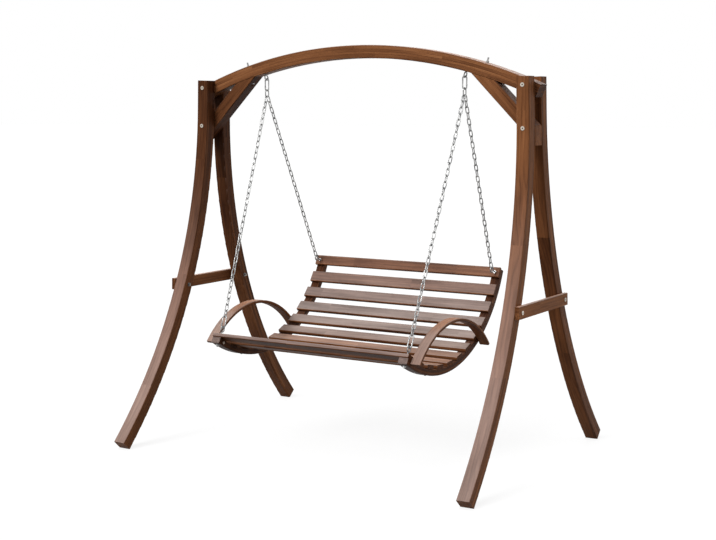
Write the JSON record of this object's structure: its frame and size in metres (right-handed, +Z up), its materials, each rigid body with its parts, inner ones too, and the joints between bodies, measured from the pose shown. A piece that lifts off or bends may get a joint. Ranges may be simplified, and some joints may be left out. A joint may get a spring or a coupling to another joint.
{
  "type": "hanging garden swing with wooden frame",
  "caption": "Slatted timber swing bench with looped armrests, hung by chains and snap hooks from an arched beam on curved splayed legs with knee braces and cross bars",
  "frame": {"origin": "On the floor, midway between the four feet", "axes": "+X to the bench's right as seen from the front, +Y to the rear, +Z up; sitters face -Y"},
  "size_m": [1.8882, 1.425, 1.8943],
  "materials": {
    "frame_timber": "reddish-brown translucent stain, satin",
    "bench_timber": "reddish-brown translucent stain, satin",
    "bolt_steel": "warm nickel-plated steel",
    "hook_steel": "bright zinc-plated steel",
    "chain_steel": "zinc-plated steel"
  },
  "bodies": {
    "frame": {"top_beam": "frame_timber", "front_left_leg": "frame_timber", "front_right_leg": "frame_timber", "rear_left_leg": "frame_timber", "rear_right_leg": "frame_timber", "left_knee_brace": "frame_timber", "right_knee_brace": "frame_timber", "left_cross_bar": "frame_timber", "right_cross_bar": "frame_timber", "leg_bolts": "bolt_steel", "leg_cap_nuts": "bolt_steel", "cross_bar_bolts": "bolt_steel", "cross_bar_nuts": "bolt_steel", "brace_bolts": "bolt_steel", "brace_nuts": "bolt_steel", "beam_eye_bolts": "hook_steel", "beam_eye_nuts": "hook_steel"},
    "swing": {"upper_left_hook": "hook_steel", "upper_right_hook": "hook_steel", "lower_left_hook": "hook_steel", "lower_right_hook": "hook_steel", "gate_pins": "hook_steel", "left_joining_link": "chain_steel", "right_joining_link": "chain_steel", "front_left_chain": "chain_steel", "front_right_chain": "chain_steel", "rear_left_chain": "chain_steel", "rear_right_chain": "chain_steel", "left_side_rail": "bench_timber", "right_side_rail": "bench_timber", "top_rail": "bench_timber", "slat_1": "bench_timber", "slat_2": "bench_timber", "slat_3": "bench_timber", "slat_4": "bench_timber", "slat_5": "bench_timber", "slat_6": "bench_timber", "slat_7": "bench_timber", "slat_8": "bench_timber", "slat_9": "bench_timber", "slat_10": "bench_timber", "front_rail": "bench_timber", "left_armrest": "bench_timber", "right_armrest": "bench_timber", "arm_bolts": "bolt_steel", "slat_screws": "bolt_steel", "front_eye_bolts": "hook_steel", "front_eye_nuts": "hook_steel", "top_eye_bolts": "hook_steel", "top_eye_nuts": "hook_steel"},
    "upper_left_gate": {"upper_left_gate": "hook_steel"},
    "upper_right_gate": {"upper_right_gate": "hook_steel"},
    "lower_left_gate": {"lower_left_gate": "hook_steel"},
    "lower_right_gate": {"lower_right_gate": "hook_steel"}
  },
  "joints": [
    {"name": "swing_hinge", "type": "hinge", "parent": "frame", "child": "swing", "pos_m": [0, 0, 1.7459], "axis": [1, 0, 0], "range_deg": [-25, 25]},
    {"name": "upper_right_gate_hinge", "type": "hinge", "parent": "swing", "child": "upper_right_gate", "pos_m": [0.54951, 0, 1.7059], "axis": [0, -1, 0], "range_deg": [0, 25], "stiffness_Nm_per_rad": 0.02, "springref_deg": -11.46},
    {"name": "upper_left_gate_hinge", "type": "hinge", "parent": "swing", "child": "upper_left_gate", "pos_m": [-0.54951, 0, 1.7059], "axis": [0, 1, 0], "range_deg": [0, 25], "stiffness_Nm_per_rad": 0.02, "springref_deg": -11.46},
    {"name": "lower_right_gate_hinge", "type": "hinge", "parent": "swing", "child": "lower_right_gate", "pos_m": [0.51227, -0.42147, 0.59589], "axis": [0.0127, -0.9309, 0.365], "range_deg": [0, 25], "stiffness_Nm_per_rad": 0.02, "springref_deg": -11.46},
    {"name": "lower_left_gate_hinge", "type": "hinge", "parent": "swing", "child": "lower_left_gate", "pos_m": [-0.51227, -0.42147, 0.59589], "axis": [0.0127, 0.9309, -0.365], "range_deg": [0, 25], "stiffness_Nm_per_rad": 0.02, "springref_deg": -11.46}
  ]
}
